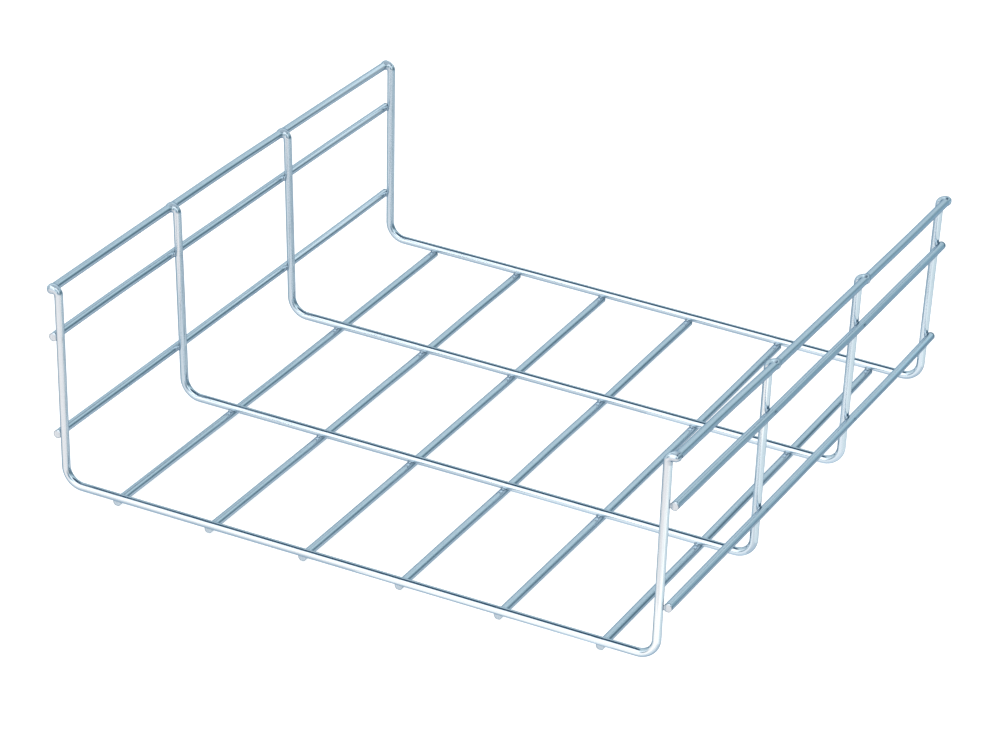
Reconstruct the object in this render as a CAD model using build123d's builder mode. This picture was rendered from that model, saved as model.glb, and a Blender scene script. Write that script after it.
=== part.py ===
"""Section of welded wire-mesh cable tray: U-shaped cross wires, with straight wires welded to their outside.

Millimetres, +Z up. X runs across the tray (left is -X), Y along it (front is -Y).
The origin is the middle of the footprint, on the plane that the bottom wires rest on.
"""

import os

from build123d import *

os.makedirs("parts", exist_ok=True)

# ---------------------------------------------------------------- driving dimensions
wire_diameter = 4.0  # one gauge of drawn wire throughout
inner_width = 300.0  # clear width on the tray floor
floor_pitch = 50.0  # from one bottom wire to the next
floor_wires = 6
bay_length = 100.0  # from one cross wire to the next
bays = 3
lower_rise = 25.0  # side wires, above the cross wires' bottom centreline
middle_rise = 75.0
top_rise = 99.0
wall_splay = 1.6  # how far each wall leans out by the height of its top wire
corner_radius = 9.0  # centreline, where the floor turns up into the wall
lip_radius = 2.3  # centreline, where each leg turns out under the top wire
set_down = 0.5  # how far resistance welding presses two wires into each other
lip_end = 0.9  # the leg's end stops this far short of the top wire's centreline
flash_radius = 1.95  # metal squeezed out round a lap weld
flash_height = 1.3
flash_round = 0.25
tee_flash_radius = 2.3  # metal squeezed out round a leg's end at the top wire
tee_flash_length = 1.2
tee_flash_inset = 0.3  # its middle lies this far inside the leg's end

# ---------------------------------------------------------------- derived dimensions
wire_radius = wire_diameter / 2
stack = wire_diameter - set_down  # centre to centre of two welded wires
tray_length = bays * bay_length
floor_z = wire_radius + stack  # cross wires' bottom centreline
leg_x = inner_width / 2 + wire_radius  # legs' centreline, carried down to floor_z
lip_x = leg_x + wall_splay  # the same, at the top wire
top_wire_x = lip_x + stack
wall_out = Vector(top_rise, 0, -wall_splay).normalized()  # square to the right wall, outwards
tee_flash_x = top_wire_x - lip_end - tee_flash_inset
clear_of_tray = 3 * inner_width  # a length that reaches past the whole tray

cross_wire_names = ["front", "front_middle", "back_middle", "back"]
cross_wire_ys = [(i - bays / 2) * bay_length for i in range(bays + 1)]
bottom_wire_xs = [(i - (floor_wires - 1) / 2) * floor_pitch for i in range(floor_wires)]

# ---------------------------------------------------------------- display colours
pale_zinc = (0.80, 0.83, 0.86)
top_zinc = (0.63, 0.70, 0.76)
blue_zinc = (0.56, 0.66, 0.73)
dull_zinc = (0.45, 0.50, 0.54)


def finish(builder, label, color):
    """Names a finished sub-part, gives it a display colour and writes its STEP file."""
    builder.part.label = label
    builder.part.color = Color(*color)
    export_step(builder.part, f"parts/{label}.step")
    return builder.part


def straight_wire(x, z):
    """A straight wire along the whole tray, cut square at both ends."""
    with BuildPart() as wire:
        with BuildSketch(Plane(origin=(x, -tray_length / 2, z), x_dir=(1, 0, 0), z_dir=(0, 1, 0))):
            Circle(wire_radius)
        extrude(amount=tray_length)
    return wire


def wall_point(rise, side):
    """Centreline of a leg at a height above the cross wires' bottom centreline; side is -1 or 1."""
    return Vector(side * (leg_x + wall_splay * rise / top_rise), 0, floor_z + rise)


def outward(side):
    """Unit vector square to the left (-1) or right (1) wall, pointing out of the tray."""
    return Vector(side * wall_out.X, 0, wall_out.Z)


def cut_flash_square():
    """Takes off the flash that stands past the straight wires' ends, where the tray was cut to length."""
    past_the_end = tray_length / 2 + tee_flash_radius
    with Locations((0, -past_the_end, floor_z), (0, past_the_end, floor_z)):
        Box(clear_of_tray, 2 * tee_flash_radius, clear_of_tray, mode=Mode.SUBTRACT)


# ---------------------------------------------------------------- top edge wires
top_wires = []
for side, side_name in ((-1, "left"), (1, "right")):
    top_wire = straight_wire(side * top_wire_x, floor_z + top_rise)
    top_wires.append(finish(top_wire, f"{side_name}_top_wire", top_zinc))

# ---------------------------------------------------------------- U-shaped cross wires
cross_wires = []
for wire_name, wire_y in zip(cross_wire_names, cross_wire_ys):
    with BuildPart() as cross_wire:
        with BuildLine(Plane(origin=(0, wire_y, floor_z), x_dir=(1, 0, 0), z_dir=(0, -1, 0))) as bent:
            FilletPolyline(
                (-(top_wire_x - lip_end), top_rise),
                (-lip_x, top_rise),
                (-leg_x, 0),
                (leg_x, 0),
                (lip_x, top_rise),
                (top_wire_x - lip_end, top_rise),
                radius=[lip_radius, corner_radius, corner_radius, lip_radius],
            )
        with BuildSketch(Plane(origin=bent.line @ 0, z_dir=bent.line % 0)):
            Circle(wire_radius)
        sweep()
        for top_wire in top_wires:
            add(top_wire, mode=Mode.SUBTRACT)
    cross_wires.append(finish(cross_wire, f"{wire_name}_cross_wire", pale_zinc))

# ---------------------------------------------------------------- straight wires under and beside them
lap_wires = []
straight_places = [(f"bottom_wire_{i + 1}", x, wire_radius) for i, x in enumerate(bottom_wire_xs)]
for side, side_name in ((-1, "left"), (1, "right")):
    for rise, level in ((lower_rise, "lower"), (middle_rise, "middle")):
        centre = wall_point(rise, side) + outward(side) * stack
        straight_places.append((f"{side_name}_{level}_wire", centre.X, centre.Z))
for wire_name, wire_x, wire_z in straight_places:
    blank = straight_wire(wire_x, wire_z)
    with BuildPart() as lap_wire:
        add(blank)
        for pressed_in in cross_wires:
            add(pressed_in, mode=Mode.SUBTRACT)
    lap_wires.append(finish(lap_wire, wire_name, blue_zinc))

# ---------------------------------------------------------------- flash round the lap welds
floor_seats = [
    Plane(origin=(x, 0, floor_z - stack / 2), x_dir=(1, 0, 0), z_dir=(0, 0, 1)) for x in bottom_wire_xs
]
wall_seats = [
    Plane(origin=wall_point(rise, side) + outward(side) * (stack / 2), x_dir=(0, 1, 0), z_dir=outward(side))
    for side in (-1, 1)
    for rise in (lower_rise, middle_rise)
]
for wire_name, wire_y, cross_wire in zip(cross_wire_names, cross_wire_ys, cross_wires):
    with BuildPart() as lap_flash:
        for seat in floor_seats + wall_seats:
            with Locations(Plane(seat.origin + Vector(0, wire_y, 0), x_dir=seat.x_dir, z_dir=seat.z_dir)):
                Cylinder(flash_radius, flash_height)
        fillet(lap_flash.edges().filter_by(GeomType.CIRCLE), flash_round)
        add(cross_wire, mode=Mode.SUBTRACT)
        for lap_wire in lap_wires:
            add(lap_wire, mode=Mode.SUBTRACT)
        cut_flash_square()
    finish(lap_flash, f"{wire_name}_lap_flash", dull_zinc)

# ---------------------------------------------------------------- flash where the legs meet the top wires
for side, side_name, top_wire in ((-1, "left", top_wires[0]), (1, "right", top_wires[1])):
    with BuildPart() as tee_flash:
        for wire_y in cross_wire_ys:
            weld_end = (side * tee_flash_x, wire_y, floor_z + top_rise)
            with Locations(Plane(weld_end, x_dir=(0, 1, 0), z_dir=(side, 0, 0))):
                Cylinder(tee_flash_radius, tee_flash_length)
        fillet(tee_flash.edges().filter_by(GeomType.CIRCLE), flash_round)
        add(top_wire, mode=Mode.SUBTRACT)
        for cross_wire in cross_wires:
            add(cross_wire, mode=Mode.SUBTRACT)
        cut_flash_square()
    finish(tee_flash, f"{side_name}_tee_flash", dull_zinc)
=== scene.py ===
"""Looks of a welded wire-mesh cable tray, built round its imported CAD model. Metres, +Z up.

Every wire is one swept mesh with the marks that drawing, bending, shearing and spot welding leave.
Every weld is a small blended mesh, taken from the distance to the two wires that meet in it.
"""

import math
import random

import bpy
import numpy as np
from mathutils import Matrix, Quaternion, Vector


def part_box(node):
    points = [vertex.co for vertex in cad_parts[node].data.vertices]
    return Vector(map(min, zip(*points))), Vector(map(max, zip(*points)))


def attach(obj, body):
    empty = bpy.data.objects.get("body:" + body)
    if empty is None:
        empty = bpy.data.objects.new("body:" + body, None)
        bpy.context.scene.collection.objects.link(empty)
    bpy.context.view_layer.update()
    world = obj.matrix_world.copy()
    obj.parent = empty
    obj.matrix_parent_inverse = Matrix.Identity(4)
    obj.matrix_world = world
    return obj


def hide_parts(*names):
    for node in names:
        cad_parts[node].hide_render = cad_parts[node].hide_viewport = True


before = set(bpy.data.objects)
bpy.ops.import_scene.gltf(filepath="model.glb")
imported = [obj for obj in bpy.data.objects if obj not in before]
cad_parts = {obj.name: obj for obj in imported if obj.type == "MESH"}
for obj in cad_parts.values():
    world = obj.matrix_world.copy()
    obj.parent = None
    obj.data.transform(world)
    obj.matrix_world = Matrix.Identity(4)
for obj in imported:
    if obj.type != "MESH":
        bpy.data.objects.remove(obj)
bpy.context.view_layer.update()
MM = 0.001

# ---------------------------------------------------------------- sizes of the wire and its marks
WIRE_RADIUS = 2.0 * MM
CORNER_RADIUS = 9.0 * MM  # centreline, where the floor turns up into the wall
LIP_RADIUS = 2.3 * MM  # centreline, where a leg turns out under the top wire
WALL_SPLAY = 1.6 * MM  # how far each wall leans out by the height of its top wire
LIP_END = 0.9 * MM  # a leg stops this far short of the top wire's centreline

RING_SIDES = 36
RING_STEP = 1.25 * MM  # along straight runs
BEND_STEP = math.radians(4)  # round bends
BEND_OVAL = 0.025  # how much a bend flattens the wire
BAY_BOW = 0.16 * MM  # furthest that a wire wanders between two welds
END_OVERHANG = {"left": 1.3 * MM, "right": -1.2 * MM, "bottom": -1.0 * MM}  # of the front ends
BACK_OVERHANG = 0.7 * MM
SHEAR_ROUND = 0.42 * MM  # rolled edge of a sheared end
SHEAR_LEAN = 0.10 * MM  # how far a sheared face is out of square, side to side
SHEAR_DISH = 0.12 * MM
SHEAR_EDGE_RINGS = 5
SHEAR_FACE_RINGS = (0.86, 0.66, 0.42, 0.2)  # as shares of the face's radius
ELECTRODE_DENT = 0.09 * MM  # pressed by the welding electrode, opposite each weld
ELECTRODE_REACH = 1.5 * MM

LAP_BLEND = 0.45 * MM  # how far the weld metal rounds out the corner between two wires
TEE_BLEND = 1.5 * MM
BEAD_REACH = 4.2 * MM  # from the weld's middle to where its mesh ends, inside the wires
BEAD_STEP = 0.22 * MM  # mesh size of the weld metal
BEAD_SUNK = 0.02 * MM  # its skin lies this deep inside the wires, away from the corner
LAP_LUMP = 0.05 * MM  # how uneven the weld metal is
TEE_LUMP = 0.02 * MM
LUMP_WAVES = 6  # crossing waves that make up the lumps
LUMP_TURN = 2.4 / MM  # the most that a wave turns, in radians a metre
LAP_PROUD = 0.0  # how far the metal spreads over the two wires
TEE_PROUD = 0.06 * MM

# ---------------------------------------------------------------- how welding has sprung the tray
TWIST = 1.6 * MM  # corners up at front right and back left, down at the other two
END_RISE = 0.8 * MM  # of both ends over the middle
LEFT_LEAN = -0.7 * MM  # inward at the top, halfway along
LEFT_LEAN_AT_ENDS = 2.2 * MM  # further inward at both ends
LEFT_HEIGHT_FALL = 0.8 * MM  # higher at the front, lower at the back
RIGHT_LEAN_TURN = 0.7 * MM  # inward at the front, outward at the back
REST_LIFT = 0.55 * MM  # sets the two lowest corners on the floor
WALL_START = 0.85  # the walls' own bending begins here and is whole at the end, both as shares
WALL_END = 0.95  # of the way from the middle to a wall

SEED = 11  # of all that is random in the wires and welds

# ---------------------------------------------------------------- camera
CAMERA_PLACE = Vector((0.64066, -1.23438, 0.77574))
CAMERA_AZIMUTH = 27.61  # degrees, round from the front towards the right
CAMERA_ELEVATION = 28.06
CAMERA_ROLL = 1.51
CAMERA_LENS = 118.85
SENSOR_WIDTH = 36.0

# ---------------------------------------------------------------- floor
FLOOR_HALF = 3.0
FLOOR_CELLS = 24  # along each side
FLOOR_DROP = 0.02 * MM  # just under the plane that the tray rests on
CARD_DROP = 0.01 * MM  # cards lie between that plane and the floor
FLOOR_GLOW = 0.85


# ================================================================ places, from the frame
CROSS_NODES = [f"{row}_cross_wire" for row in ("front", "front_middle", "back_middle", "back")]
BOTTOM_NODES = [f"bottom_wire_{i + 1}" for i in range(6)]
SIDES = {"left": -1, "right": 1}


def middle(name):
    """Middle of a CAD node's box."""
    low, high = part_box(name)
    return (low + high) / 2


CROSS_YS = [middle(name).y for name in CROSS_NODES]
FLOOR_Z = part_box(CROSS_NODES[1])[0].z + WIRE_RADIUS  # cross wires' bottom centreline
TOP_X = middle("right_top_wire").x
TOP_Z = middle("right_top_wire").z
STACK = FLOOR_Z - middle(BOTTOM_NODES[0]).z  # centre to centre of two welded wires
LIP_X = TOP_X - STACK
LEG_X = LIP_X - WALL_SPLAY


def wire_ends(name):
    """Where a straight wire really ends, front and back: cut a little long or short."""
    low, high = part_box(name)
    return low.y - END_OVERHANG[name.split("_")[0]], high.y + BACK_OVERHANG


# ================================================================ meshes
PIECES = {}  # every piece made here, by name


def sprung(points):
    """Moves points of the true tray to where they lie in the slightly twisted and bent one."""
    spots = np.array([tuple(point) for point in points])
    across = spots[:, 0] / LEG_X
    along = spots[:, 1] / CROSS_YS[-1]
    up = np.clip((spots[:, 2] - FLOOR_Z) / (TOP_Z - FLOOR_Z), 0, 1.1)
    at_wall = np.clip((np.abs(across) - WALL_START) / (WALL_END - WALL_START), 0, 1)
    left, right = at_wall * (across < 0), at_wall * (across > 0)
    spots[:, 2] += REST_LIFT - TWIST * across * along + END_RISE * along**2
    spots[:, 2] -= LEFT_HEIGHT_FALL * left * up * along
    spots[:, 0] += left * up * (LEFT_LEAN + LEFT_LEAN_AT_ENDS * along**2)
    spots[:, 0] += right * up * RIGHT_LEAN_TURN * along
    return spots


def new_piece(name, points, faces, material, replaced, spaces):
    """A mesh piece that stands for CAD nodes.

    The points lie in the true tray. The spaces are the same points in the straightened wire, for
    its material.
    """
    mesh = bpy.data.meshes.new(name)
    mesh.from_pydata(sprung(points).tolist(), [], [tuple(int(i) for i in f) for f in faces])
    mesh.validate()
    mesh.shade_smooth()
    layer = mesh.attributes.new("wire_space", "FLOAT_VECTOR", "POINT")
    layer.data.foreach_set("vector", np.asarray(spaces, np.float32).ravel())
    mesh.materials.append(material)
    piece = bpy.data.objects.new(name, mesh)
    bpy.context.scene.collection.objects.link(piece)
    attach(piece, "root")
    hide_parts(*replaced)
    PIECES[name] = piece


def run(start, end):
    """Evenly spaced points from start up to, but without, end."""
    steps = max(1, round((end - start).length / RING_STEP))
    return [start.lerp(end, i / steps) for i in range(steps)]


def rounded_path(corners, radii):
    """Points along a polyline with rounded corners, and how bent it is at each, from 0 to 1."""
    points, bent = [], []
    here = corners[0]
    for before, corner, after, radius in zip(corners, corners[1:], corners[2:], radii):
        to_before = (before - corner).normalized()
        to_after = (after - corner).normalized()
        half = to_before.angle(to_after) / 2
        arc_start = corner + to_before * (radius / math.tan(half))
        arc_end = corner + to_after * (radius / math.tan(half))
        centre = corner + (to_before + to_after).normalized() * (radius / math.sin(half))
        straight = run(here, arc_start)
        points += straight
        bent += [0.0] * len(straight)
        turn = math.pi - 2 * half
        axis = (arc_start - centre).cross(arc_end - centre).normalized()
        steps = math.ceil(turn / BEND_STEP)
        for i in range(steps):
            swing = Matrix.Rotation(turn * i / steps, 3, axis)
            points.append(centre + swing @ (arc_start - centre))
            bent.append(math.sin(math.pi * i / steps))
        here = arc_end
    straight = run(here, corners[-1]) + [corners[-1]]
    return points + straight, bent + [0.0] * len(straight)


def add_bows(points, welds, side, lowest, rng):
    """Lets a wire wander a little between its welds.

    It runs along side. The lowest shift is 0 where a floor keeps it from sinking, or else -1.
    """
    stations = sorted(welds)
    shifts = []
    for low, high in zip(stations, stations[1:]):
        lift = Vector((rng.uniform(-1, 1), 0, rng.uniform(lowest, 1))) * BAY_BOW
        shifts.append((low, high, lift - lift.project(side)))
    moved = []
    for point in points:
        place = point.dot(side)
        shift = Vector()
        for low, high, lift in shifts:
            if low < place < high:
                shift = lift * math.sin(math.pi * (place - low) / (high - low)) ** 2
        moved.append(point + shift)
    return moved


def sheared_end(centre, out, first, second, rng):
    """Rings that close a wire with a rolled edge and a dished face, and the middle of the face.

    Each ring holds pairs of a point and its place across the straightened wire.
    """
    lean = rng.uniform(0, 2 * math.pi)
    rings = []
    for step in range(1, SHEAR_EDGE_RINGS + 1):
        turn = math.pi / 2 * step / SHEAR_EDGE_RINGS
        radius = WIRE_RADIUS - SHEAR_ROUND * (1 - math.cos(turn))
        rings.append((radius, -SHEAR_ROUND * (1 - math.sin(turn))))
    edge = WIRE_RADIUS - SHEAR_ROUND
    for share in SHEAR_FACE_RINGS:
        rings.append((edge * share, -SHEAR_DISH * (1 - share**2)))
    made = []
    for radius, depth in rings:
        made.append([])
        for i in range(RING_SIDES):
            angle = 2 * math.pi * i / RING_SIDES
            tilt = -SHEAR_LEAN * (0.5 - 0.5 * math.cos(angle - lean) * radius / WIRE_RADIUS)
            wide, deep = radius * math.cos(angle), radius * math.sin(angle)
            spot = centre + first * wide + second * deep + out * (depth + tilt)
            made[-1].append((spot, (wide, deep)))
    return made, centre - out * (SHEAR_DISH + SHEAR_LEAN / 2)


def band(low, high):
    """Quads between two rings of points, given by their numbers."""
    turns = [(i, (i + 1) % RING_SIDES) for i in range(RING_SIDES)]
    return [(low[i], low[j], high[j], high[i]) for i, j in turns]


def swept_wire(name, path, bent, side, dents, sheared, rng, material):
    """A round wire swept along a flat path; side is the unit vector square to the path's plane."""
    points, spaces, rings = [], [], []
    along = 0.0
    angles = [2 * math.pi * i / RING_SIDES for i in range(RING_SIDES)]
    for i, centre in enumerate(path):
        ahead = path[min(i + 1, len(path) - 1)] - path[max(i - 1, 0)]
        normal = side.cross(ahead.normalized())
        along += (centre - path[max(i - 1, 0)]).length
        ring = []
        for angle in angles:
            wide = WIRE_RADIUS * (1 + BEND_OVAL * bent[i]) * math.cos(angle)
            deep = WIRE_RADIUS * (1 - BEND_OVAL * bent[i]) * math.sin(angle)
            spot = centre + side * wide + normal * deep
            for dent_centre, dent_out in dents:
                near = math.exp(-(((centre - dent_centre).length / ELECTRODE_REACH) ** 2))
                if near > 0.01:
                    facing = max(0.0, (spot - centre).normalized().dot(dent_out))
                    spot = spot - dent_out * (ELECTRODE_DENT * near * facing**6)
            ring.append(len(points))
            points.append(spot)
            spaces.append((wide, deep, along))
        rings.append(ring)
    faces = []
    for low, high in zip(rings, rings[1:]):
        faces += band(low, high)
    for at_start in (True, False):
        last = rings[0] if at_start else rings[-1]
        centre = path[0] if at_start else path[-1]
        inner = path[1] if at_start else path[-2]
        out = (centre - inner).normalized()
        normal = side.cross(-out if at_start else out)
        station = 0.0 if at_start else along
        loops, tip = sheared_end(centre, out, side, normal, rng)
        if not sheared:
            loops, tip = [], centre  # a flat lid, buried in the top wire
        for loop in loops:
            ring = []
            for spot, (wide, deep) in loop:
                ring.append(len(points))
                points.append(spot)
                spaces.append((wide, deep, station))
            faces += band(ring, last) if at_start else band(last, ring)
            last = ring
        hub = len(points)
        points.append(tip)
        spaces.append((0, 0, station))
        for i in range(RING_SIDES):
            j = (i + 1) % RING_SIDES
            faces.append((last[j], last[i], hub) if at_start else (last[i], last[j], hub))
    new_piece(name, points, faces, material, [name], spaces)


def surface_net(field, low, step):
    """A closed quad mesh round the region where a sampled field is negative."""
    inside = field < 0
    total = np.zeros(field.shape + (3,))
    count = np.zeros(field.shape)
    crossings = []
    for axis in range(3):
        unit = np.eye(3, dtype=int)
        changes = np.argwhere(np.diff(inside.astype(np.int8), axis=axis) != 0)
        start = field[tuple(changes.T)]
        end = field[tuple((changes + unit[axis]).T)]
        crossing = changes + unit[axis] * (start / (start - end))[:, None]
        first, second = unit[(axis + 1) % 3], unit[(axis + 2) % 3]
        cells = [changes, changes - first, changes - first - second, changes - second]
        for cell in cells:
            np.add.at(total, tuple(cell.T), crossing)
            np.add.at(count, tuple(cell.T), 1)
        crossings.append((cells, start > 0))
    used = np.flatnonzero(count.ravel())
    index = np.full(count.size, -1)
    index[used] = np.arange(len(used))
    points = low + step * (total.reshape(-1, 3)[used] / count.ravel()[used][:, None])
    faces = []
    for cells, entering in crossings:
        flat_cells = [np.ravel_multi_index(tuple(cell.T), field.shape) for cell in cells]
        quads = np.stack([index[cell] for cell in flat_cells], 1)
        quads[entering] = quads[entering][:, ::-1]
        faces.append(quads)
    return points, np.concatenate(faces)


def depth_in_rod(spots, start, end):
    """Signed distance to a round wire cut square at start and end; negative inside."""
    start, end = np.array(start), np.array(end)
    length = np.linalg.norm(end - start)
    way = (end - start) / length
    along = (spots - start) @ way
    out = np.linalg.norm(spots - start - along[..., None] * way, axis=-1) - WIRE_RADIUS
    return np.maximum(out, np.maximum(-along, along - length))


def blended(first, second, blend):
    """The smaller of two distances, with the corner between them rounded out."""
    mix = np.clip(0.5 + 0.5 * (second - first) / blend, 0, 1)
    return second * (1 - mix) + first * mix - blend * mix * (1 - mix)


def weld_bead(centre, first, second, blend, lump, proud, rng):
    """Mesh of the metal in the corner between two wires; first and second give distances to them."""
    margin = 2  # grid steps that the bead stays clear of the grid's faces
    count = 2 * (math.ceil(BEAD_REACH / BEAD_STEP) + margin) + 1
    low = np.array(centre) - BEAD_STEP * (count - 1) / 2
    axes = [low[i] + BEAD_STEP * np.arange(count) for i in range(3)]
    grid = np.stack(np.meshgrid(*axes, indexing="ij"), -1)
    to_first, to_second = first(grid), second(grid)
    rough = 0
    for _ in range(LUMP_WAVES):
        wave = np.array([rng.uniform(-1, 1) for _ in range(3)]) * LUMP_TURN
        rough = rough + np.sin(grid @ wave + rng.uniform(0, 2 * math.pi)) / LUMP_WAVES
    in_corner = np.exp(-(((to_first - to_second) / blend) ** 2))
    reach = np.linalg.norm(grid - np.array(centre), axis=-1) / BEAD_REACH
    sunk = BEAD_SUNK - proud * np.clip(2 * (1 - reach), 0, 1)
    skin = blended(to_first, to_second, blend) + sunk - lump * rough * in_corner
    return surface_net(np.maximum(skin, (reach - 1) * BEAD_REACH), low, BEAD_STEP)


def weld_piece(name, beads, material):
    """One piece from several weld beads."""
    points, faces, offset = [], [], 0
    for bead_points, bead_faces in beads:
        points.append(bead_points)
        faces.append(bead_faces + offset)
        offset += len(bead_points)
    points = np.concatenate(points)
    new_piece(name, points, np.concatenate(faces), material, [name], points)


# ================================================================ materials
def node(tree, kind, **settings):
    """A new shader node with the given settings."""
    made = tree.nodes.new(kind)
    for key, value in settings.items():
        setattr(made, key, value)
    return made


def mapped(tree, source, low, high, to_low, to_high):
    """A value rescaled from one range to another, and held inside it."""
    made = node(tree, "ShaderNodeMapRange")
    made.inputs["From Min"].default_value = low
    made.inputs["From Max"].default_value = high
    made.inputs["To Min"].default_value = to_low
    made.inputs["To Max"].default_value = to_high
    tree.links.new(source, made.inputs["Value"])
    return made.outputs["Result"]


def noise_at(tree, coordinates, stretch, scale, detail=2.0, roughness=0.5):
    """Noise over the straightened wire, drawn out along it by stretch."""
    mapping = node(tree, "ShaderNodeMapping")
    mapping.inputs["Scale"].default_value = (1, 1, 1 / stretch)
    tree.links.new(coordinates, mapping.inputs["Vector"])
    made = node(tree, "ShaderNodeTexNoise")
    made.inputs["Scale"].default_value = scale
    made.inputs["Detail"].default_value = detail
    made.inputs["Roughness"].default_value = roughness
    tree.links.new(mapping.outputs["Vector"], made.inputs["Vector"])
    return made.outputs["Fac"]


EDGE_TINT = (0.35, 0.45, 0.55, 1)  # of the reflection at a grazing angle
MOTTLE_STOPS = (0.32, 0.68)  # the noise that gives the dark colour, and the light one


def metal(name, dark, light, mottle_scale, roughness, bumps):
    """A plated metal whose colour, roughness and relief vary over the straightened wire.

    Each bump is a stretch along the wire, a scale, a level of detail and a height.
    """
    material = bpy.data.materials.new(name)
    material.use_nodes = True
    tree = material.node_tree
    shader = tree.nodes["Principled BSDF"]
    shader.inputs["Metallic"].default_value = 1.0
    shader.inputs["Specular Tint"].default_value = EDGE_TINT
    space = node(tree, "ShaderNodeAttribute", attribute_name="wire_space").outputs["Vector"]

    mottle = noise_at(tree, space, 3.0, mottle_scale, 4.0, 0.6)
    ramp = node(tree, "ShaderNodeValToRGB")
    for element, stop, color in zip(ramp.color_ramp.elements, MOTTLE_STOPS, (dark, light)):
        element.position = stop
        element.color = (*color, 1)
    tree.links.new(mottle, ramp.inputs["Fac"])
    tree.links.new(ramp.outputs["Color"], shader.inputs["Base Color"])

    streaks = noise_at(tree, space, 60.0, 5200.0, 3.0, 0.6)
    cloud = noise_at(tree, space, 2.0, 700.0, 2.0)
    both = node(tree, "ShaderNodeMath", operation="MULTIPLY_ADD")
    both.inputs[1].default_value = 0.5
    tree.links.new(streaks, both.inputs[0])
    tree.links.new(mapped(tree, cloud, 0.3, 0.7, 0.0, 0.5), both.inputs[2])
    varied = mapped(tree, both.outputs["Value"], 0.2, 0.8, *roughness)
    tree.links.new(varied, shader.inputs["Roughness"])

    relief = None
    for stretch, scale, detail, height in bumps:
        bump = node(tree, "ShaderNodeBump")
        bump.inputs["Strength"].default_value = 1.0
        bump.inputs["Distance"].default_value = height
        tree.links.new(noise_at(tree, space, stretch, scale, detail), bump.inputs["Height"])
        if relief is not None:
            tree.links.new(relief, bump.inputs["Normal"])
        relief = bump.outputs["Normal"]
    tree.links.new(relief, shader.inputs["Normal"])
    return material


def make_zinc_wire():
    """Bright zinc over drawn wire: long die lines, a faint ripple and fine plating grain."""
    return metal(
        "zinc_wire",
        dark=(0.52, 0.605, 0.665),
        light=(0.56, 0.64, 0.70),
        mottle_scale=160.0,
        roughness=(0.13, 0.20),
        bumps=[
            (80.0, 6000.0, 2.0, 0.0006 * MM),
            (6.0, 260.0, 1.0, 0.005 * MM),
            (1.0, 9000.0, 2.0, 0.0003 * MM),
        ],
    )


def make_weld_metal_and_crease_shade():
    """Weld metal under the same zinc: duller, more mottled and softly lumpy. Its colour is darker
    than the wire's, partly as painted shade in the creases that the weld metal fills.
    """
    return metal(
        "weld_flash",
        # painted shade: these darker colours stand partly for the shade in the corners where two
        # wires meet, which is all of the weld metal that shows
        dark=(0.47, 0.55, 0.61),
        light=(0.55, 0.63, 0.69),
        mottle_scale=900.0,
        roughness=(0.18, 0.28),
        bumps=[(1.0, 900.0, 2.0, 0.018 * MM), (1.0, 5200.0, 3.0, 0.003 * MM)],
    )


def make_pale_floor():
    """A pale matt surface that glows, so that shadows on it stay as faint as in the photo."""
    material = bpy.data.materials.new("pale_floor")
    material.use_nodes = True
    tree = material.node_tree
    shader = tree.nodes["Principled BSDF"]
    shader.inputs["Roughness"].default_value = 0.9
    shader.inputs["Specular IOR Level"].default_value = 0.0
    shader.inputs["Emission Color"].default_value = (1, 1, 1, 1)
    shader.inputs["Emission Strength"].default_value = FLOOR_GLOW
    place = node(tree, "ShaderNodeTexCoord").outputs["Object"]
    grain = noise_at(tree, place, 1.0, 40.0, 3.0)
    ramp = node(tree, "ShaderNodeValToRGB")
    ramp.color_ramp.elements[0].color = (0.34, 0.345, 0.35, 1)
    ramp.color_ramp.elements[1].color = (0.36, 0.365, 0.37, 1)
    tree.links.new(grain, ramp.inputs["Fac"])
    tree.links.new(ramp.outputs["Color"], shader.inputs["Base Color"])
    return material


# ================================================================ the tray
rng = random.Random(SEED)
zinc_wire = make_zinc_wire()
weld_flash = make_weld_metal_and_crease_shade()
ACROSS, ALONG = Vector((1, 0, 0)), Vector((0, 1, 0))


def wall_out(side):
    """Unit vector square to the left (-1) or right (1) wall, pointing out of the tray."""
    return Vector((side * (TOP_Z - FLOOR_Z), 0, -WALL_SPLAY)).normalized()


LAP_SEATS = []  # the straight wire of a lap weld, and the way from it to the cross wire
for name in BOTTOM_NODES:
    LAP_SEATS.append((name, Vector((0, 0, 1))))
for side_name, side in SIDES.items():
    for level in ("lower", "middle"):
        LAP_SEATS.append((f"{side_name}_{level}_wire", -wall_out(side)))


def seat_of(name, y):
    """Centre of a straight wire at a cross wire."""
    place = middle(name)
    return Vector((place.x, y, place.z))


for name, inward in LAP_SEATS:
    ends = [seat_of(name, y) for y in wire_ends(name)]
    path = run(*ends) + [ends[1]]
    path = add_bows(path, CROSS_YS, ALONG, 0 if name in BOTTOM_NODES else -1, rng)
    dents = [(seat_of(name, y), -inward) for y in CROSS_YS]
    swept_wire(name, path, [0.0] * len(path), ACROSS, dents, True, rng, zinc_wire)

for side_name, side in SIDES.items():
    name = f"{side_name}_top_wire"
    ends = [seat_of(name, y) for y in wire_ends(name)]
    path = add_bows(run(*ends) + [ends[1]], CROSS_YS, ALONG, -1, rng)
    dents = [(seat_of(name, y), Vector((side, 0, 0))) for y in CROSS_YS]
    swept_wire(name, path, [0.0] * len(path), ACROSS, dents, True, rng, zinc_wire)

for name, y in zip(CROSS_NODES, CROSS_YS):
    corners = [
        Vector((-(TOP_X - LIP_END), y, TOP_Z)),
        Vector((-LIP_X, y, TOP_Z)),
        Vector((-LEG_X, y, FLOOR_Z)),
        Vector((LEG_X, y, FLOOR_Z)),
        Vector((LIP_X, y, TOP_Z)),
        Vector((TOP_X - LIP_END, y, TOP_Z)),
    ]
    path, bent = rounded_path(corners, [LIP_RADIUS, CORNER_RADIUS, CORNER_RADIUS, LIP_RADIUS])
    dents = [(seat_of(wire, y) + inward * STACK, inward) for wire, inward in LAP_SEATS]
    swept_wire(name, path, bent, ALONG, dents, False, rng, zinc_wire)

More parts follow.
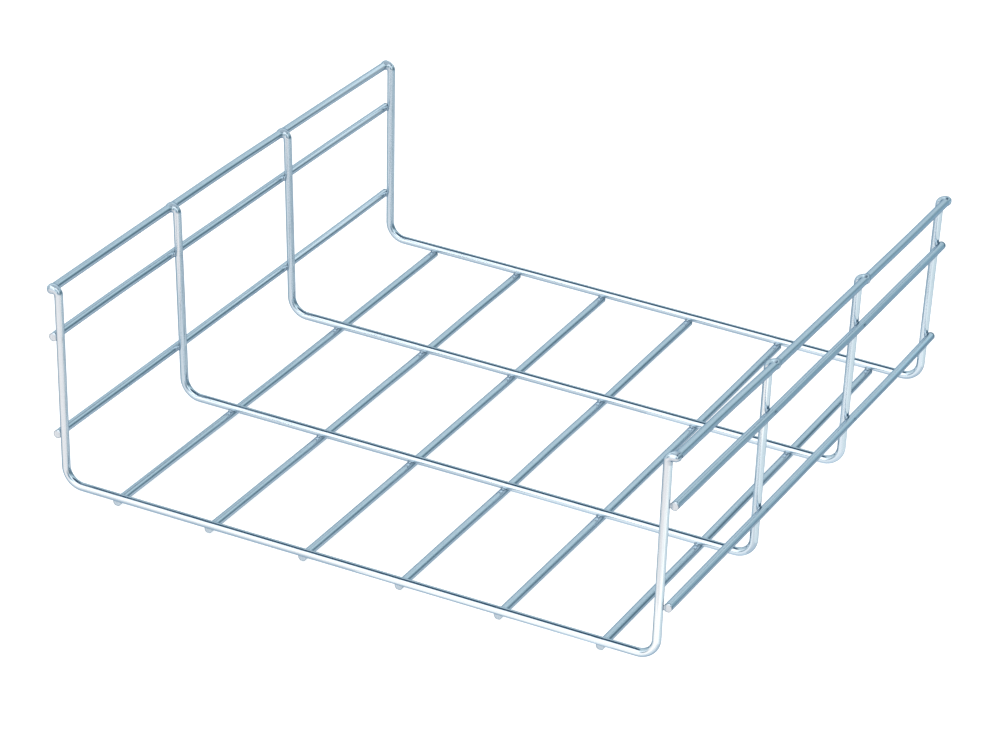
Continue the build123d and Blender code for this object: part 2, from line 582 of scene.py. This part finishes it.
for name, y in zip(CROSS_NODES, CROSS_YS):
    beads = []
    for wire, inward in LAP_SEATS:
        low = seat_of(wire, y)
        high = low + inward * STACK
        way = inward.cross(ALONG) * 3 * BEAD_REACH
        ends = [Vector((low.x, limit, low.z)) for limit in wire_ends(wire)]
        beads.append(
            weld_bead(
                (low + high) / 2,
                lambda spots, ends=ends: depth_in_rod(spots, *ends),
                lambda spots, high=high, way=way: depth_in_rod(spots, high - way, high + way),
                LAP_BLEND,
                LAP_LUMP,
                LAP_PROUD,
                rng,
            )
        )
    weld_piece(name.replace("cross_wire", "lap_flash"), beads, weld_flash)


def depth_in_lip(spots, side, y):
    """Signed distance to a leg that turns out and melts into its top wire; negative inside."""
    hub = np.array((side * (LIP_X + LIP_RADIUS), y, TOP_Z - LIP_RADIUS))
    offset = spots - hub
    flat = np.stack([side * offset[..., 0], offset[..., 2]], -1)
    angle = np.where(flat[..., 1] < 0, math.pi, np.arctan2(flat[..., 1], flat[..., 0]))
    angle = np.clip(angle, math.pi / 2, math.pi)
    nearest = LIP_RADIUS * np.stack([np.cos(angle), np.sin(angle)], -1)
    bend = np.sqrt(((flat - nearest) ** 2).sum(-1) + offset[..., 1] ** 2) - WIRE_RADIUS
    foot = Vector((side * LIP_X, y, TOP_Z - LIP_RADIUS))
    tip = Vector((side * (LIP_X + LIP_RADIUS), y, TOP_Z))
    leg = depth_in_rod(spots, foot - Vector((0, 0, 3 * BEAD_REACH)), foot)
    past_tip = np.clip(side * (spots[..., 0] - tip.x), 0, TOP_X - LIP_X - LIP_RADIUS)
    from_stub = spots - np.array(tip) - past_tip[..., None] * np.array((side, 0, 0))
    stub = np.linalg.norm(from_stub, axis=-1) - WIRE_RADIUS
    return np.minimum(np.minimum(bend, leg), stub)


for side_name, side in SIDES.items():
    beads = []
    ends = [Vector((side * TOP_X, limit, TOP_Z)) for limit in wire_ends(f"{side_name}_top_wire")]
    for y in CROSS_YS:
        beads.append(
            weld_bead(
                Vector((side * (TOP_X - WIRE_RADIUS), y, TOP_Z)),
                lambda spots: depth_in_rod(spots, *ends),
                lambda spots, y=y: depth_in_lip(spots, side, y),
                TEE_BLEND,
                TEE_LUMP,
                TEE_PROUD,
                rng,
            )
        )
    weld_piece(f"{side_name}_tee_flash", beads, weld_flash)


# ================================================================ floor, light and camera
def make_floor():
    """A plain pale floor that fills every view, hidden from what the wires reflect."""
    mesh = bpy.data.meshes.new("floor")
    row = FLOOR_CELLS + 1
    marks = [-FLOOR_HALF + 2 * FLOOR_HALF / FLOOR_CELLS * i for i in range(row)]
    points = [(x, y, -FLOOR_DROP) for y in marks for x in marks]
    firsts = [j * row + i for j in range(FLOOR_CELLS) for i in range(FLOOR_CELLS)]
    faces = [(k, k + 1, k + row + 1, k + row) for k in firsts]
    mesh.from_pydata(points, [], faces)
    mesh.materials.append(make_pale_floor())
    floor = bpy.data.objects.new("floor", mesh)
    bpy.context.scene.collection.objects.link(floor)
    floor.visible_glossy = False


def add_softbox(name, place, target, width, height, glow):
    """A rectangle of light; glow is its radiance, red, green and blue."""
    data = bpy.data.lights.new(name, "AREA")
    data.shape = "RECTANGLE"
    data.size = width
    data.size_y = height
    data.energy = math.pi * width * height
    data.color = glow
    light = bpy.data.objects.new(name, data)
    bpy.context.scene.collection.objects.link(light)
    light.location = place
    light.rotation_mode = "QUATERNION"
    light.rotation_quaternion = (Vector(target) - Vector(place)).to_track_quat("-Z", "Y")
    return light


def ramp_of(tree, source, stops):
    """A colour ramp over a value from -1 to 1, whose first and last stops lie at those two."""
    ramp = node(tree, "ShaderNodeValToRGB")
    elements = ramp.color_ramp.elements
    for place, color in stops[1:-1]:
        elements.new((place + 1) / 2).color = (*color, 1)
    elements[0].color = (*stops[0][1], 1)
    elements[len(elements) - 1].color = (*stops[-1][1], 1)
    tree.links.new(mapped(tree, source, -1, 1, 0, 1), ramp.inputs["Fac"])
    return ramp.outputs["Color"]


# The room's colours, from straight down to straight up, as seen from the tray.
FRONT_OF_ROOM = [
    (-1.00, (0.80, 0.90, 1.00)),
    (-0.47, (1.12, 1.12, 1.13)),
    (-0.12, (1.10, 1.13, 1.20)),
    (0.02, (1.35, 1.37, 1.40)),
    (0.12, (2.00, 2.00, 2.00)),
    (1.00, (2.00, 2.00, 2.00)),
]
FRONT_CORNERS_OF_ROOM = [  # these show in the straight wires only from behind
    (-1.00, (0.80, 0.90, 1.00)),
    (-0.36, (1.12, 1.12, 1.13)),
    (-0.20, (0.60, 0.74, 0.82)),
    (0.02, (0.34, 0.46, 0.54)),
    (0.22, (0.34, 0.46, 0.54)),
    (0.42, (0.70, 0.86, 0.93)),
    (0.62, (0.88, 1.03, 1.09)),
    (1.00, (0.30, 0.42, 0.50)),
]
BACK_LEFT_OF_ROOM = [
    (-1.00, (0.80, 0.90, 1.00)),
    (-0.47, (0.60, 0.73, 0.82)),
    (0.02, (0.80, 0.96, 1.04)),
    (0.26, (0.85, 0.98, 1.03)),
    (0.52, (0.83, 0.97, 1.02)),
    (0.66, (0.88, 1.02, 1.08)),
    (0.73, (0.05, 0.13, 0.21)),
    (1.00, (0.04, 0.11, 0.18)),
]
BACK_RIGHT_OF_ROOM = [
    (-1.00, (0.80, 0.90, 1.00)),
    (-0.47, (0.90, 0.96, 1.00)),
    (-0.28, (0.42, 0.58, 0.68)),
    (-0.06, (0.17, 0.27, 0.33)),
    (0.20, (0.17, 0.27, 0.33)),
    (0.37, (0.44, 0.61, 0.68)),
    (0.52, (0.76, 0.94, 1.01)),
    (0.66, (0.90, 1.06, 1.13)),
    (0.73, (0.05, 0.13, 0.21)),
    (1.00, (0.04, 0.11, 0.18)),
]

# Where its parts meet: each pair is where the next one begins and where it has taken over.
FRONT_TO_BACK = (-0.52, -0.38)
FRONT_TO_BACK_RAKE = -0.2  # the back begins further back, higher up
LEFT_TO_RIGHT = (-0.10, 0.35)
FRONT_MIDDLE = -0.21  # the bright middle of the front lies a little to the left
MIDDLE_TO_CORNERS = (0.35, 0.45)  # to both sides of that
CORNERS_TO_BACK = (-0.60, -0.50)


def mixed(tree, factor, first, second):
    """One colour turning into another as a factor goes from 0 to 1."""
    blend = node(tree, "ShaderNodeMix", data_type="RGBA")
    tree.links.new(factor, blend.inputs["Factor"])
    tree.links.new(first, blend.inputs[6])
    tree.links.new(second, blend.inputs[7])
    return blend.outputs[2]


# Place, target, width, height and glow; it lights the floor and does not show in the wires.
OVERHEAD_SOFTBOX = ((-0.2, -0.4, 1.9), (0, 0, 0), 2.4, 2.4, (1.2, 1.2, 1.2))
# Middle, turn in degrees, width, depth and glow; then the pieces it shows in, or None for all.
FLOOR_CARDS = {
    "front_card": (0.12, -0.39, 0, 0.95, 0.45, (0.36, 0.20, 0.12), None),
    "front_near_card": (0.15, -0.18, 0, 0.30, 0.05, (0.40, 0.34, 0.27), CROSS_NODES),
    "right_card": (0.42, 0.02, 0, 0.50, 0.60, (0.26, 0.26, 0.22), CROSS_NODES),
    "right_near_card": (0.235, 0.0, 0, 0.06, 0.40, (0.30, 0.25, 0.18), CROSS_NODES),
    "inner_card": (0.10, 0.0, -12, 0.12, 0.30, (0.26, 0.24, 0.22), CROSS_NODES),
}
# Place, target, width, height and glow; then the start and end of the names of the pieces it
# shows in.
RAISED_CARDS = {
    "back_card": (
        (-0.07, 0.36, 0.17),
        (-0.07, 0, 0.1),
        0.30,
        0.24,
        (0.40, 0.36, 0.34),
        "left",
        "",
    ),
    "back_right_card": (
        (0.36, 0.28, 0.09),
        (0.157, 0, 0.06),
        0.34,
        0.16,
        (0.24, 0.32, 0.36),
        "right",
        "",
    ),
    "ceiling_card": (
        (-0.2, 0.1, 0.9),
        (0, 0, 0.1),
        1.2,
        1.2,
        (0.60, 0.62, 0.62),
        "",
        "tee_flash",
    ),
}


def show_only_in(card, names):
    """Hides a card from the camera and the floor, and from every piece but those named, if any."""
    card.visible_camera = False
    card.visible_diffuse = False
    if names:
        lit = bpy.data.collections.new(f"{card.name}_receivers")
        for name in names:
            lit.objects.link(PIECES[name])
        card.light_linking.receiver_collection = lit


def make_studio():
    """A bright room, dim high up behind the tray, with glowing cards on the floor and round it."""
    world = bpy.data.worlds.new("studio")
    bpy.context.scene.world = world
    world.use_nodes = True
    tree = world.node_tree
    room = tree.nodes["Background"]
    way = node(tree, "ShaderNodeSeparateXYZ")
    tree.links.new(node(tree, "ShaderNodeTexCoord").outputs["Generated"], way.inputs["Vector"])
    front, corners, back_left, back_right = (
        ramp_of(tree, way.outputs["Z"], stops)
        for stops in (FRONT_OF_ROOM, FRONT_CORNERS_OF_ROOM, BACK_LEFT_OF_ROOM, BACK_RIGHT_OF_ROOM)
    )
    aside = node(tree, "ShaderNodeMath", operation="ADD")
    aside.inputs[1].default_value = -FRONT_MIDDLE
    tree.links.new(way.outputs["X"], aside.inputs[0])
    off_middle = node(tree, "ShaderNodeMath", operation="ABSOLUTE")
    tree.links.new(aside.outputs["Value"], off_middle.inputs[0])
    to_side = mapped(tree, off_middle.outputs["Value"], *MIDDLE_TO_CORNERS, 0, 1)
    to_front = mapped(tree, way.outputs["Y"], *CORNERS_TO_BACK, 1, 0)
    in_corner = node(tree, "ShaderNodeMath", operation="MULTIPLY")
    tree.links.new(to_side, in_corner.inputs[0])
    tree.links.new(to_front, in_corner.inputs[1])
    front = mixed(tree, in_corner.outputs["Value"], front, corners)
    to_right = mapped(tree, way.outputs["X"], *LEFT_TO_RIGHT, 0, 1)
    back = mixed(tree, to_right, back_left, back_right)
    behind = node(tree, "ShaderNodeMath", operation="MULTIPLY_ADD")
    behind.inputs[1].default_value = FRONT_TO_BACK_RAKE
    tree.links.new(way.outputs["Z"], behind.inputs[0])
    tree.links.new(way.outputs["Y"], behind.inputs[2])
    to_back = mapped(tree, behind.outputs["Value"], *FRONT_TO_BACK, 0, 1)
    tree.links.new(mixed(tree, to_back, front, back), room.inputs["Color"])
    room.inputs["Strength"].default_value = 1.0

    overhead = add_softbox("overhead_softbox", *OVERHEAD_SOFTBOX)
    overhead.visible_glossy = False
    for name, (x, y, turn, width, depth, glow, lit) in FLOOR_CARDS.items():
        place = Vector((x, y, -CARD_DROP))
        card = add_softbox(name, place, place + Vector((0, 0, 1)), width, depth, glow)
        turned = Quaternion((0, 0, 1), math.radians(turn))
        card.rotation_quaternion = turned @ card.rotation_quaternion
        show_only_in(card, lit)
    for name, (place, target, width, height, glow, first, last) in RAISED_CARDS.items():
        card = add_softbox(name, place, target, width, height, glow)
        lit = [piece for piece in PIECES if piece.startswith(first) and piece.endswith(last)]
        show_only_in(card, lit)


def make_camera():
    """A camera at the photo's angle."""
    azimuth = math.radians(CAMERA_AZIMUTH)
    elevation = math.radians(CAMERA_ELEVATION)
    roll = math.radians(CAMERA_ROLL)
    level = Vector((math.sin(azimuth), -math.cos(azimuth), 0))
    back = level * math.cos(elevation) + Vector((0, 0, math.sin(elevation)))
    right = (-back).cross(Vector((0, 0, 1))).normalized()
    up = back.cross(right)
    turned_right = right * math.cos(roll) + up * math.sin(roll)
    turned_up = up * math.cos(roll) - right * math.sin(roll)
    data = bpy.data.cameras.new("camera")
    data.lens = CAMERA_LENS
    data.sensor_width = SENSOR_WIDTH
    data.clip_start = 0.05
    camera = bpy.data.objects.new("camera", data)
    bpy.context.scene.collection.objects.link(camera)
    turn = Matrix((turned_right, turned_up, back)).transposed()
    camera.matrix_world = Matrix.Translation(CAMERA_PLACE) @ turn.to_4x4()
    bpy.context.scene.camera = camera


make_floor()
make_studio()
make_camera()
bpy.context.scene.view_settings.view_transform = "Standard"
